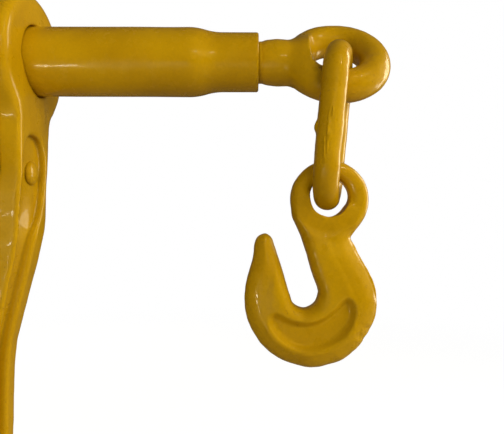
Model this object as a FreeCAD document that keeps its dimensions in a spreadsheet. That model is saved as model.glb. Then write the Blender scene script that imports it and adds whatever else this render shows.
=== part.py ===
import FreeCAD, Part
import Sketcher
import os
import math

# Ratchet load binder.  Millimetres, +Z up.
# Origin: middle of the bounding box, on the mid-plane of the barrel and below its axis.
# +X runs along the barrel to the end with the right-hand thread.
# The lever hangs along -Z, the wide faces of the hooks look along -Y and +Y.
# The pieces are laid out about the barrel's axis and lifted to this frame at the end.

V = FreeCAD.Vector
doc = FreeCAD.newDocument("load_binder")

# ---------------------------------------------------------------- dimensions
# alias, value, meaning
ROWS = [
    ("barrel_length", 254.0, "barrel, end to end"),
    ("barrel_od", 32.0, "barrel outside diameter"),
    ("barrel_bore", 24.0, "barrel bore between the threaded ends"),
    ("neck_od", 27.4, "swaged end outside diameter"),
    ("swage_start", 94.5, "start of the swaged shoulder, from the middle"),
    ("swage_end", 110.3, "end of the swaged shoulder, from the middle"),
    ("shoulder_x", 104.0, "inside shoulder, from the middle"),
    ("thread_major", 19.0, "screw crest diameter"),
    ("thread_minor", 14.4, "screw root diameter"),
    ("thread_lead", 5.0, "screw lead"),
    ("thread_gap", 0.25, "clearance between screw and barrel threads"),
    ("groove_root", 1.8, "screw groove width at the root"),
    ("groove_crest", 3.3, "screw groove width at the crest"),
    ("thread_start", 9.0, "start of the screw thread, closed"),
    ("spigot_dia", 12.0, "spigot at the inner end of the screw"),
    ("spigot_end", 1.0, "inner end of the spigot, closed"),
    ("stop_ring_od", 23.6, "stop ring outside diameter"),
    ("stop_ring_id", 12.3, "stop ring inside diameter"),
    ("stop_ring_in", 4.6, "stop ring inner face, closed"),
    ("stop_ring_width", 4.0, "stop ring width"),
    ("stop_pin_dia", 3.0, "stop pin diameter"),
    ("stop_pin_length", 17.0, "stop pin length"),
    ("stop_pin_x", 2.8, "stop pin position, closed"),
    ("collar_dia", 21.6, "collar of the eye, largest diameter"),
    ("waist_dia", 20.4, "waist between collar and eye"),
    ("eye_x", 163.2, "centre of the eye ring, closed"),
    ("eye_mid_radius", 17.7, "eye ring, centre line radius"),
    ("eye_section", 14.7, "eye ring section diameter"),
    ("eye_tilt", 51.3, "tilt of the eye's hole from the vertical"),
    ("link_bar", 11.2, "link bar diameter"),
    ("link_bend", 14.25, "link bend, centre line radius"),
    ("link_straight", 35.5, "link straight length"),
    ("link_x", 159.97, "link centre"),
    ("link_y", -10.8, "link centre"),
    ("link_z", -31.42, "link centre"),
    ("link_yaw", 77.0, "link turned about the vertical"),
    ("link_lean", 5.0, "link leaning"),
    ("hook_hole", 18.4, "hook eye hole diameter"),
    ("hook_eye_od", 34.6, "hook eye outside diameter"),
    ("hook_eye_thick", 10.5, "hook eye thickness"),
    ("hook_thick", 14.0, "hook body thickness"),
    ("hook_hole_round", 2.2, "rounding of the edges of the hook's hole"),
    ("hook_recess", 1.2, "depth of the channel in the hook's faces"),
    ("handle_head_od", 62.0, "ratchet housing outside diameter"),
    ("handle_head_half", 24.5, "ratchet housing half width"),
    ("handle_head_round", 4.0, "ratchet housing edge radius"),
    ("chamber_dia", 55.0, "ratchet chamber diameter"),
    ("chamber_half", 17.0, "ratchet chamber half width"),
    ("cheek_bore", 32.6, "bore of the cheeks on the barrel"),
    ("cheek_face", 23.2, "recessed face of the cheeks, from the middle"),
    ("window_top", -20.7, "top of the pawl window"),
    ("window_floor", -64.0, "floor of the pawl window"),
    ("window_corner", 13.0, "corner radius of the window floor"),
    ("handle_reach", 350.0, "lever length from the barrel axis"),
    ("grip_hole", 13.0, "hole at the end of the lever"),
    ("grip_end_radius", 13.5, "radius of the end of the lever"),
    ("grip_end_half", 7.5, "half thickness of the end of the lever"),
    ("web_slot", 8.4, "width of the channel in the lever's sides"),
    ("pawl_z", -52.0, "pawl pivot"),
    ("pawl_width", 32.8, "pawl width"),
    ("pawl_pin_dia", 8.0, "pawl pin diameter"),
    ("pawl_pin_end", 25.3, "end of the pawl pin, from the middle"),
    ("pawl_head_dia", 10.4, "pawl pin head diameter"),
    ("gear_od", 52.0, "ratchet ring outside diameter"),
    ("gear_root", 42.0, "ratchet ring root diameter"),
    ("gear_width", 30.0, "ratchet ring width"),
    ("gear_teeth", 12.0, "ratchet ring teeth"),
    ("gear_bore", 32.02, "ratchet ring bore"),
    ("tooth_tip", 4.4, "tooth width at the tip"),
    ("tooth_base", 6.2, "tooth width at the root"),
    ("lock_pin_dia", 5.0, "lock pin diameter"),
    ("lock_pin_in", 12.4, "inner end of the lock pins"),
    ("lock_pin_out", 20.8, "outer end of the lock pins"),
    ("washer_od", 41.6, "thrust washer outside diameter"),
    ("washer_id", 32.2, "thrust washer inside diameter"),
    ("washer_width", 1.8, "thrust washer width"),
    ("washer_gap", 0.05, "gap between ratchet ring and thrust washer"),
    ("plunger_dia", 8.0, "detent plunger diameter"),
    ("plunger_hole", 8.4, "detent plunger hole"),
    ("plunger_tip", -61.2, "detent plunger tip"),
    ("plunger_base", -72.0, "detent plunger base"),
    ("plunger_hole_end", -94.5, "bottom of the plunger hole"),
    ("spring_dia", 6.4, "detent spring mean diameter"),
    ("spring_wire", 1.0, "detent spring wire diameter"),
    ("spring_pitch", 3.0, "detent spring pitch"),
    ("spring_bottom", -93.6, "detent spring lower end"),
    ("spring_length", 20.4, "detent spring length along the wire centre"),
]

SIDES = (("right", 1), ("left", -1))    # right is +X
THROUGH = 90.0                          # length of a cut that passes right through
RUN_OUT = 6.0                           # length of a cut from its floor out past the face
PIN_FIT = 0.01                          # radial clearance of the lock pin holes
ROUND_INSET = 1 - math.sqrt(0.5)        # inset of a quarter round's middle, per unit of radius


class Dim:
    """A number together with the sheet expression that gives it."""

    def __init__(self, value, text=None):
        self.value = float(value)
        self.text = text if text is not None else repr(self.value)

    def __add__(self, other):
        other = as_dim(other)
        return Dim(self.value + other.value, "(%s + %s)" % (self.text, other.text))

    def __sub__(self, other):
        other = as_dim(other)
        return Dim(self.value - other.value, "(%s - %s)" % (self.text, other.text))

    def __mul__(self, other):
        other = as_dim(other)
        return Dim(self.value * other.value, "(%s * %s)" % (self.text, other.text))

    def __rmul__(self, other):
        return as_dim(other) * self

    def __truediv__(self, other):
        other = as_dim(other)
        return Dim(self.value / other.value, "(%s / %s)" % (self.text, other.text))

    def __neg__(self):
        return -1 * self


def as_dim(number):
    return number if isinstance(number, Dim) else Dim(number)


class Dims:
    """The rows of the sheet, each as a Dim under its alias."""


dims = Dims()
sheet = doc.addObject("Spreadsheet::Sheet", "dims")
sheet.set("A1", "dimension")
sheet.set("B1", "value")
sheet.set("C1", "meaning")
for row, (alias, value, meaning) in enumerate(ROWS, 2):
    sheet.set("A%d" % row, alias)
    sheet.set("B%d" % row, repr(value))
    sheet.set("C%d" % row, meaning)
    sheet.setAlias("B%d" % row, alias)
    setattr(dims, alias, Dim(value, "dims." + alias))
doc.recompute()

PIECES = []


# ------------------------------------------------------------------- helpers
def new_piece(kind, label):
    """An object that is exported under its label."""
    piece = doc.addObject(kind, label)
    piece.Label = label
    PIECES.append(piece)
    return piece


def new_body(label):
    return new_piece("PartDesign::Body", label)


def origin(body, role):
    return [o for o in body.Origin.OriginFeatures if o.Role == role][0]


def bind(obj, prop, value):
    value = as_dim(value)
    setattr(obj, prop, value.value)
    obj.setExpression(prop, value.text)


def fix_value(sk, value, *what):
    """Add a dimensional constraint, bound to the sheet where its value comes from there."""
    value = as_dim(value)
    index = sk.addConstraint(Sketcher.Constraint(*what, value.value))
    if "dims." in value.text:
        sk.setExpression("Constraints[%d]" % index, value.text)


def fix_point(sk, geo, pos, x, y):
    for value, kind, axis in ((x, "DistanceX", -2), (y, "DistanceY", -1)):
        if abs(as_dim(value).value) < 1e-9:
            sk.addConstraint(Sketcher.Constraint("PointOnObject", geo, pos, axis))
        else:
            fix_value(sk, value, kind, -1, 1, geo, pos)


def vector(x, y):
    return V(as_dim(x).value, as_dim(y).value, 0)


def outline(sk, points):
    """Closed outline.  A point is (x, y), or (x, y, mx, my) when the edge
    that arrives at it is an arc through (mx, my)."""
    first = sk.GeometryCount
    following = points[1:] + points[:1]
    ends = []
    for i, (a, b) in enumerate(zip(points, following)):
        start, end = vector(*a[:2]), vector(*b[:2])
        ends.append((1, 2))
        if len(b) == 4:
            sk.addGeometry(Part.Arc(start, vector(*b[2:]), end), False)
            # The sketch may store an arc the other way round.
            if sk.getPoint(first + i, 1).distanceToPoint(start) > 1e-6:
                ends[i] = (2, 1)
        else:
            sk.addGeometry(Part.LineSegment(start, end), False)
    for i in range(len(points)):
        j = (i + 1) % len(points)
        sk.addConstraint(
            Sketcher.Constraint("Coincident", first + i, ends[i][1], first + j, ends[j][0]))
    for i, point in enumerate(points):
        fix_point(sk, first + i, ends[i][0], point[0], point[1])


def on_side(side, points):
    """Outline points drawn for +x, mirrored where side is -1."""
    return [(side * p[0], p[1]) + ((side * p[2], p[3]) if len(p) == 4 else ()) for p in points]


def sketch(body, name, plane, *outlines, shift=V(0, 0, 0), tilt=0.0):
    """Sketch of closed outlines on an origin plane.  Its (x, y) are the plane's two letters.
    The normal is +Z for XY, +X for YZ and -Y for XZ; shift and tilt are in sketch axes."""
    sk = body.newObject("Sketcher::SketchObject", name)
    sk.AttachmentSupport = [(origin(body, plane + "_Plane"), "")]
    sk.MapMode = "FlatFace"
    sk.AttachmentOffset = FreeCAD.Placement(shift, FreeCAD.Rotation(V(1, 0, 0), tilt))
    for points in outlines:
        outline(sk, points)
    return sk


def circle(sk, x, y, radius):
    shape = Part.Circle(vector(x, y), V(0, 0, 1), as_dim(radius).value)
    geo = sk.addGeometry(shape, False)
    fix_value(sk, radius, "Radius", geo)
    if vector(x, y).Length < 1e-9:
        sk.addConstraint(Sketcher.Constraint("Coincident", geo, 3, -1, 1))
    else:
        fix_point(sk, geo, 3, x, y)


def has_failed(obj):
    return any("Invalid" in state or "Error" in state for state in obj.State)


def check(feature):
    doc.recompute()
    if has_failed(feature):
        raise RuntimeError("%s failed: %s" % (feature.Name, feature.State))
    if feature.Shape.isNull() or not feature.Shape.isValid():
        raise RuntimeError("%s gave no valid shape" % feature.Name)
    return feature


def check_cut(feature, before):
    check(feature)
    if not feature.Shape.Volume < before - 1e-3:
        raise RuntimeError("%s removed nothing" % feature.Name)
    return feature


def volume(body):
    doc.recompute()
    return body.Shape.Volume


def pad(body, sk, length, name):
    """Pad to both sides of the sketch."""
    feature = body.newObject("PartDesign::Pad", name)
    feature.Profile = sk
    feature.SideType = "Symmetric"
    bind(feature, "Length", length)
    return check(feature)


def pocket(body, sk, length, name, toward=0):
    """Cut to both sides of the sketch, or along (1) or against (-1) its normal."""
    before = volume(body)
    feature = body.newObject("PartDesign::Pocket", name)
    feature.Profile = sk
    feature.SideType = "One side" if toward else "Symmetric"
    feature.Reversed = toward > 0
    bind(feature, "Length", length)
    return check_cut(feature, before)


def drill(body, name, sketch_name, plane, x, y, diameter, clearance=0.0):
    """Round hole right through, square to the plane; the clearance is radial."""
    sk = sketch(body, sketch_name, plane)
    circle(sk, x, y, diameter / 2 + clearance)
    pocket(body, sk, THROUGH, name)


def revolve(body, sk, name, axis=None, cut=False):
    """Full turn about the given axis, or about the barrel's."""
    before = volume(body) if cut else 0.0
    kind = "PartDesign::Groove" if cut else "PartDesign::Revolution"
    feature = body.newObject(kind, name)
    feature.Profile = sk
    feature.ReferenceAxis = axis or (origin(body, "X_Axis"), [""])
    feature.Angle = 360.0
    return check_cut(feature, before) if cut else check(feature)


def cut_thread(body, name, sketch_name, side, middle, base, top, length):
    """Cut a thread outward from middle, right-handed on the +X side and left-handed on the
    other.  base and top are the (width, radius) of the two ends of its section."""
    sk = sketch(body, sketch_name, "XZ", [
        (middle - base[0] / 2, base[1]),
        (middle + base[0] / 2, base[1]),
        (middle + top[0] / 2, top[1]),
        (middle - top[0] / 2, top[1]),
    ])
    before = volume(body)
    feature = body.newObject("PartDesign::SubtractiveHelix", name)
    feature.Profile = sk
    feature.ReferenceAxis = (origin(body, "X_Axis"), [""])
    feature.Mode = "pitch-height-angle"
    bind(feature, "Pitch", dims.thread_lead)
    bind(feature, "Height", length)
    feature.LeftHanded = side < 0
    feature.Reversed = side < 0
    check_cut(feature, before)


def xcylinder(name, radius, length, start):
    """Cylinder along +X."""
    cylinder = doc.addObject("Part::Cylinder", name)
    bind(cylinder, "Radius", radius)
    bind(cylinder, "Height", length)
    cylinder.Placement = FreeCAD.Placement(V(start, 0, 0), FreeCAD.Rotation(V(0, 1, 0), 90))
    return cylinder


def make_ring(label, stem, side, inner_face, width, outside, inside):
    """Flat ring on the barrel's axis; inner_face is its distance from the middle."""
    overrun = 1.0
    start = inner_face.value if side > 0 else -inner_face.value - width.value
    blank = xcylinder(stem + "_blank", outside / 2, width, start)
    hole = xcylinder(stem + "_hole", inside / 2, width + 2 * overrun, start - overrun)
    ring = new_piece("Part::Cut", label)
    ring.Base = blank
    ring.Tool = hole


# -------------------------------------------------------------------- barrel
def make_barrel():
    end_chamfer = 1.2
    mouth_chamfer = 1.6
    section_leads = 18      # thread section, in leads out from the start of the screw thread
    base_overlap = 0.4      # how far the thread section dips into the bore
    overrun = 8.0           # nut thread length beyond that of the threaded end

    half = dims.barrel_length / 2
    tube = dims.barrel_od / 2
    neck = dims.neck_od / 2
    bore = dims.barrel_bore / 2
    nut = dims.thread_minor / 2 + dims.thread_gap
    start, end, shoulder = dims.swage_start, dims.swage_end, dims.shoulder_x

    # The swage is two tangent arcs from the tube down to the neck.
    rise = (tube - neck) / 2
    run = (end - start) / 2
    radius = (run.value ** 2 + rise.value ** 2) / (2 * rise.value)
    half_turn = math.asin(run.value / radius) / 2
    along = radius * math.sin(half_turn)
    drop = radius * (1 - math.cos(half_turn))
    middle_x, middle_r = start + run, neck + rise

    barrel = new_body("barrel")
    sk = sketch(barrel, "barrel_section", "XZ", [
        (-half + end_chamfer, neck),
        (-end, neck),
        (-middle_x, middle_r, -(end - along), neck + drop),
        (-start, tube, -(start + along), tube - drop),
        (start, tube),
        (middle_x, middle_r, start + along, tube - drop),
        (end, neck, end - along, neck + drop),
        (half - end_chamfer, neck),
        (half, neck - end_chamfer),
        (half, nut + mouth_chamfer),
        (half - mouth_chamfer, nut),
        (shoulder, nut),
        (shoulder, bore),
        (-shoulder, bore),
        (-shoulder, nut),
        (-half + mouth_chamfer, nut),
        (-half, nut + mouth_chamfer),
        (-half, neck - end_chamfer),
    ])
    revolve(barrel, sk, "barrel_tube")
    # The ridge of the screw fits this groove with the thread clearance all round.
    top_radius = dims.thread_major / 2 + dims.thread_gap
    top_width = dims.thread_lead - dims.groove_crest + 2 * dims.thread_gap
    base_width = dims.thread_lead - dims.groove_root + 2 * dims.thread_gap
    for word, side in SIDES:
        cut_thread(barrel, word + "_nut_thread", word + "_nut_groove", side,
                   side * (dims.thread_start + section_leads * dims.thread_lead),
                   (base_width, nut - base_overlap), (top_width, top_radius),
                   half - shoulder + overrun)
    drill(barrel, "lock_pin_holes", "lock_pin_hole", "XY", 0, 0, dims.lock_pin_dia, PIN_FIT)


# -------------------------------------------------------------- ratchet ring
def tooth_gap_points():
    """Gap between the two lowest teeth, as (y, z)."""
    overrun = 1.5           # how far the cut goes beyond the tips
    half_pitch = math.radians(180.0 / dims.gear_teeth.value)
    root, tip = dims.gear_root.value / 2, dims.gear_od.value / 2
    root_width, tip_width = dims.tooth_base.value, dims.tooth_tip.value
    taper = (root_width - tip_width) / (tip - root)

    def flank(side, radius, width):
        angle = side * half_pitch
        y = radius * math.sin(angle) - side * width / 2 * math.cos(angle)
        z = -radius * math.cos(angle) - abs(math.sin(angle)) * width / 2
        return (y, z)

    # radius, tooth width
    stations = [(tip + overrun, tip_width - overrun * taper), (tip, tip_width), (root, root_width)]
    inward = [flank(-1, *station) for station in stations]
    outward = [flank(1, *station) for station in stations[::-1]]
    return inward + [outward[0] + (0.0, -root)] + outward[1:]


def make_gear():
    gear = new_body("ratchet_gear")
    sk = sketch(gear, "gear_disc_outline", "YZ")
    circle(sk, 0, 0, dims.gear_od / 2)
    circle(sk, 0, 0, dims.gear_bore / 2)
    pad(gear, sk, dims.gear_width, "gear_disc")
    sk = sketch(gear, "tooth_gap_outline", "YZ", tooth_gap_points())
    gap = pocket(gear, sk, THROUGH, "tooth_gap")
    pattern = gear.newObject("PartDesign::PolarPattern", "tooth_gaps")
    pattern.Originals = [gap]
    pattern.Axis = (origin(gear, "X_Axis"), [""])
    pattern.Angle = 360.0
    pattern.setExpression("Occurrences", dims.gear_teeth.text)
    gear.Tip = pattern
    check(pattern)
    drill(gear, "gear_pin_holes", "gear_pin_hole", "XY", 0, 0, dims.lock_pin_dia, PIN_FIT)


def make_lock_pins():
    """Two pins through ring and barrel wall, above and below the axis."""
    pins = []
    for word, up, turn in (("upper", 1, 0), ("lower", -1, 180)):
        pin = doc.addObject("Part::Cylinder", word + "_lock_pin")
        bind(pin, "Radius", dims.lock_pin_dia / 2)
        bind(pin, "Height", dims.lock_pin_out - dims.lock_pin_in)
        pin.Placement = FreeCAD.Placement(V(0, 0, up * dims.lock_pin_in.value),
                                          FreeCAD.Rotation(V(1, 0, 0), turn))
        pins.append(pin)
    new_piece("Part::Compound", "gear_lock_pins").Links = pins


# -------------------------------------------------------------------- handle
# Edge of the lever seen along Y, below the straight part of the head: (x, z).
LEVER_EDGE = [
    (21.5, -89.0), (17.5, -106.0), (14.9, -117.5), (13.0, -126.0), (11.8, -133.0),
    (10.5, -146.0), (10.0, -175.0), (9.0, -300.0), (7.5, -324.0),
]
# Edges of the lever seen along X, down the -Y side and up the +Y side: (y, z).
LEVER_DOWN = [
    (-16.0, -8.0), (-16.0, -36.0), (-15.0, -50.0), (-12.6, -66.0), (-10.5, -92.0),
    (-9.0, -117.0), (-8.2, -146.0), (-8.0, -312.0),
]
LEVER_UP = [
    (8.0, -312.0), (8.2, -146.0), (9.0, -117.0), (10.3, -92.0), (11.3, -66.0),
    (13.0, -48.0), (15.5, -30.0), (15.5, -8.0),
]
# Recess in the outer face of each cheek: (y, z), with the middle of the arc at its top.
CHEEK_RECESS = [
    (-11.0, -46.0, -2.0, -35.0), (-11.0, -58.0), (-4.2, -76.0), (4.2, -76.0),
    (8.0, -58.0), (8.0, -46.0),
]
# Channel in the side of the lever, after its top inner corner: (x, z).
WEB_CHANNEL = [
    (9.5, -104.0), (4.0, -128.0), (3.5, -150.0), (3.5, -312.0), (30.0, -320.0), (30.0, -60.0),
]


def add_lever(handle, grip_z):
    edge_top, edge_bottom = -12.0, -72.0    # straight part of the edge
    blank_thick = 40.0
    trim_half, trim_top, trim_below = 40.0, -2.0, 20.0

    half, reach, end_radius = dims.handle_head_half, dims.handle_reach, dims.grip_end_radius
    edge = [(half, edge_top), (half, edge_bottom)] + LEVER_EDGE + [(dims.grip_end_half, -reach)]
    sk = sketch(handle, "lever_front", "XZ", edge + on_side(-1, edge[::-1]))
    pad(handle, sk, blank_thick, "lever_blank")
    # Everything outside the side view is trimmed away.
    around = [
        (-trim_half, trim_top), (-trim_half, -reach - trim_below),
        (trim_half, -reach - trim_below), (trim_half, trim_top),
    ]
    grip_end = [(-end_radius, grip_z), (end_radius, grip_z, 0.0, -reach)]
    sk = sketch(handle, "lever_side", "YZ", around, LEVER_DOWN + grip_end + LEVER_UP)
    pocket(handle, sk, THROUGH, "lever_trim")


def add_head(handle):
    """Drum with the ratchet chamber, and the window for the pawl below it."""
    half, edge, outer = dims.handle_head_half, dims.handle_head_round, dims.handle_head_od / 2
    inset = edge * ROUND_INSET
    sk = sketch(handle, "head_section", "XZ", [
        (-half, 0.0),
        (-half, outer - edge),
        (-half + edge, outer, -half + inset, outer - inset),
        (half - edge, outer),
        (half, outer - edge, half - inset, outer - inset),
        (half, 0.0),
    ])
    revolve(handle, sk, "head_drum")

    half, outer = dims.chamber_half, dims.chamber_dia / 2
    sk = sketch(handle, "chamber_section", "XZ",
                [(-half, 0.0), (-half, outer), (half, outer), (half, 0.0)])
    revolve(handle, sk, "chamber", cut=True)

    floor, top, corner = dims.window_floor, dims.window_top, dims.window_corner
    inset = corner * ROUND_INSET
    sk = sketch(handle, "window_outline", "XZ", [
        (-half, top),
        (-half, floor + corner),
        (-half + corner, floor, -half + inset, floor + inset),
        (half - corner, floor),
        (half, floor + corner, half - inset, floor + inset),
        (half, top),
    ])
    pocket(handle, sk, THROUGH, "window")


def make_handle():
    pin_clearance = 0.02
    web_top = -60.0
    plunger_hole_depth = 40.0       # from its bottom up into the window

    handle = new_body("handle")
    grip_z = -dims.handle_reach + dims.grip_end_radius
    add_lever(handle, grip_z)
    add_head(handle)
    drill(handle, "cheek_bores", "cheek_bore_outline", "YZ", 0, 0, dims.cheek_bore)
    drill(handle, "pawl_pin_holes", "pawl_pin_outline", "YZ", 0, dims.pawl_z,
          dims.pawl_pin_dia, pin_clearance)
    for word, side in SIDES:
        sk = sketch(handle, word + "_cheek_recess_outline", "YZ", CHEEK_RECESS,
                    shift=V(0, 0, side * dims.cheek_face.value))
        pocket(handle, sk, RUN_OUT, word + "_cheek_recess", toward=side)
    web = [(dims.cheek_face, web_top)] + WEB_CHANNEL
    sk = sketch(handle, "web_outline", "XZ", web, on_side(-1, web))
    pocket(handle, sk, dims.web_slot, "web_channels")
    sk = sketch(handle, "plunger_hole_outline", "XY", shift=V(0, 0, dims.plunger_hole_end.value))
    circle(sk, 0, 0, dims.plunger_hole / 2)
    pocket(handle, sk, plunger_hole_depth, "plunger_hole", toward=1)
    drill(handle, "grip_hole", "grip_hole_outline", "YZ", 0, grip_z, dims.grip_hole)


# ----------------------------------------------------------- pawl and detent
# Half of the pawl from top to bottom, about its pivot: (y, z).
PAWL_EDGE = [
    (7.0, 11.0), (12.0, 16.5), (14.9, 23.5), (14.7, 29.8), (17.5, 30.7), (20.0, 26.0),
    (20.2, 19.0), (15.5, 10.0), (20.0, 6.7), (20.0, 2.0), (13.0, 0.5), (8.2, -5.2), (3.5, -8.5),
]


def make_pawl():
    middle_half_height = 9.0        # pawl height above and below the pivot, on its mid-plane
    bore_clearance = 0.1
    corner_radius = 12.0
    corner_rise = 2.0               # centre of the corner rounding above the pivot
    outside, below = 30.0, 20.0     # extent of the corner cuts

    pawl = new_body("pawl")
    pivot = dims.pawl_z
    edge = [(y, pivot + z) for y, z in PAWL_EDGE]
    sk = sketch(pawl, "pawl_outline", "YZ",
                [(0.0, pivot + middle_half_height)] + edge
                + [(0.0, pivot - middle_half_height)] + on_side(-1, edge[::-1]))
    pad(pawl, sk, dims.pawl_width, "pawl_blank")
    drill(pawl, "pawl_bore", "pawl_bore_outline", "YZ", 0, pivot,
          dims.pawl_pin_dia, bore_clearance)
    # The lower corners are rounded to clear the corners of the window floor.
    centre_x = dims.chamber_half - dims.window_corner
    centre_z = pivot + corner_rise
    diagonal = corner_radius * math.sqrt(0.5)
    corner = [
        (outside, centre_z),
        (centre_x + corner_radius, centre_z),
        (centre_x, centre_z - corner_radius, centre_x + diagonal, centre_z - diagonal),
        (centre_x, pivot - below),
        (outside, pivot - below),
    ]
    sk = sketch(pawl, "pawl_corner_outline", "XZ", corner, on_side(-1, corner))
    pocket(pawl, sk, THROUGH, "pawl_corners")


def make_pawl_pin():
    """Pin with a domed head outside each cheek recess."""
    flat_radius = 1.6                   # flat in the middle of the head
    dome_x, dome_radius = 24.75, 3.7    # a point on the dome

    pin = new_body("pawl_pin")
    shank, head = dims.pawl_pin_dia / 2, dims.pawl_head_dia / 2
    face, end = dims.cheek_face, dims.pawl_pin_end
    sk = sketch(pin, "pin_section", "XZ", [
        (-end, 0.0),
        (-end, flat_radius),
        (-face, head, -dome_x, dome_radius),
        (-face, shank),
        (face, shank),
        (face, head),
        (end, flat_radius, dome_x, dome_radius),
        (end, 0.0),
    ], shift=V(0, dims.pawl_z.value, 0))
    revolve(pin, sk, "pin_body", axis=(sk, ["H_Axis"]))


def make_plunger():
    tip_flat = 1.2                      # radius of the flat on the tip
    nose = 2.6                          # length of the rounded nose
    nose_radius, nose_drop = 3.2, 0.85  # a point on the nose, below the tip

    plunger = new_body("detent_plunger")
    tip, base, radius = dims.plunger_tip, dims.plunger_base, dims.plunger_dia / 2
    sk = sketch(plunger, "plunger_section", "XZ", [
        (0.0, tip),
        (tip_flat, tip),
        (radius, tip - nose, nose_radius, tip - nose_drop),
        (radius, base),
        (0.0, base),
    ])
    revolve(plunger, sk, "plunger_body", axis=(origin(plunger, "Z_Axis"), [""]))


def make_spring():
    spring = new_body("detent_spring")
    sk = sketch(spring, "wire_section", "XZ")
    wire = dims.spring_wire / 2
    circle(sk, dims.spring_dia / 2, dims.spring_bottom + wire, wire)
    coil = spring.newObject("PartDesign::AdditiveHelix", "coil")
    coil.Profile = sk
    coil.ReferenceAxis = (origin(spring, "Z_Axis"), [""])
    coil.Mode = "pitch-height-angle"
    bind(coil, "Pitch", dims.spring_pitch)
    bind(coil, "Height", dims.spring_length)
    check(coil)


# ------------------------------------------------------ eye screws and stops
def make_eye_screw(word, side):
    spigot_chamfer = 0.8
    lead_in, lead_in_depth = 2.4, 0.2   # cone at the start, and its depth below the root
    collar_setback = 27.7               # collar centre from the eye's centre
    collar_in, collar_out = 6.3, 6.0    # ends of the collar from its centre
    collar_peak = 0.4                   # highest point of the collar from its centre
    flare_x, flare_rise = 11.0, 2.8     # from the collar centre, and above the waist
    end_x, end_rise = 12.5, 2.3         # end of the shank, inside the ring
    groove_over = 0.4                   # groove section beyond the crest
    groove_widen = 0.26                 # and its extra width there
    least_ring = 5000.0                 # volume the ring must add

    screw = new_body(word + "_eye_screw")
    crest, root, spigot = dims.thread_major / 2, dims.thread_minor / 2, dims.spigot_dia / 2
    start, lead = dims.thread_start, dims.thread_lead
    collar, waist = dims.collar_dia / 2, dims.waist_dia / 2
    collar_x = dims.eye_x - collar_setback
    sk = sketch(screw, "shank_section", "XZ", on_side(side, [
        (dims.spigot_end, 0.0),
        (dims.spigot_end, spigot - spigot_chamfer),
        (dims.spigot_end + spigot_chamfer, spigot),
        (start, spigot),
        (start, root - lead_in_depth),
        (start + lead_in, crest),
        (collar_x - collar_in, crest),
        (collar_x + collar_out, waist, collar_x + collar_peak, collar),
        (collar_x + flare_x, waist + flare_rise),
        (collar_x + end_x, waist + end_rise),
        (collar_x + end_x, 0.0),
    ]))
    revolve(screw, sk, "shank")
    # The groove runs out past the mouth of the barrel, so the nut's thread
    # meets it over its whole length.
    cut_thread(screw, "thread", "thread_groove", side, side * (start - lead / 2),
               (dims.groove_root, root),
               (dims.groove_crest + groove_widen, crest + groove_over),
               dims.barrel_length / 2 - start + lead)
    # The section stands on the barrel's side of the ring, so that the seam is
    # buried in the neck.
    sk = sketch(screw, "eye_section", "XZ",
                shift=V(side * dims.eye_x.value, 0, 0), tilt=dims.eye_tilt.value)
    circle(sk, -side * dims.eye_mid_radius, 0.0, dims.eye_section / 2)
    before = volume(screw)
    ring = revolve(screw, sk, "eye_ring", axis=(sk, ["V_Axis"]))
    if not ring.Shape.Volume > before + least_ring:
        raise RuntimeError("%s added nothing" % ring.Name)
    drill(screw, "stop_pin_hole", "stop_pin_outline", "XZ", side * dims.stop_pin_x, 0.0,
          dims.stop_pin_dia, clearance=0.005)


def make_stop_pin(word, side):
    """Cross pin through the spigot, along Y."""
    pin = new_piece("Part::Cylinder", word + "_stop_pin")
    bind(pin, "Radius", dims.stop_pin_dia / 2)
    bind(pin, "Height", dims.stop_pin_length)
    pin.Placement = FreeCAD.Placement(
        V(side * dims.stop_pin_x.value, dims.stop_pin_length.value / 2, 0),
        FreeCAD.Rotation(V(1, 0, 0), 90))


# ----------------------------------------------------------- links and hooks
def make_link(word, side):
    """Oval link, drawn upright about its centre and then turned into place."""
    link = new_body(word + "_link")
    bend, half = dims.link_bend.value, dims.link_straight.value / 2
    path = sketch(link, "link_path", "XZ")
    for end in (1, -1):
        near, far = V(end * bend, end * half, 0), V(-end * bend, end * half, 0)
        path.addGeometry(Part.LineSegment(V(end * bend, -end * half, 0), near), False)
        path.addGeometry(Part.Arc(near, V(0, end * (half + bend), 0), far), False)
    for i in range(4):
        path.addConstraint(Sketcher.Constraint("Tangent", i, 2, (i + 1) % 4, 1))
    path.addConstraint(Sketcher.Constraint("PointOnObject", 1, 3, -2))
    path.addConstraint(Sketcher.Constraint("Vertical", 0))
    path.addConstraint(Sketcher.Constraint("Symmetric", 1, 3, 3, 3, -1, 1))
    fix_value(path, dims.link_bend, "Radius", 1)
    fix_value(path, dims.link_straight, "DistanceY", 0, 1, 0, 2)
    bar = sketch(link, "link_bar_section", "XY")
    circle(bar, dims.link_bend, 0.0, dims.link_bar / 2)
    doc.recompute()
    pipe = link.newObject("PartDesign::AdditivePipe", "link_bar")
    pipe.Profile = bar
    pipe.Spine = (path, ["Edge1", "Edge2", "Edge3", "Edge4"])
    check(pipe)
    lean = FreeCAD.Rotation(V(0, 1, 0), side * dims.link_lean.value)
    yaw = FreeCAD.Rotation(V(0, 0, 1), side * dims.link_yaw.value)
    centre = V(side * dims.link_x.value, dims.link_y.value, dims.link_z.value)
    link.Placement = FreeCAD.Placement(centre, lean.multiply(yaw))


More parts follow.
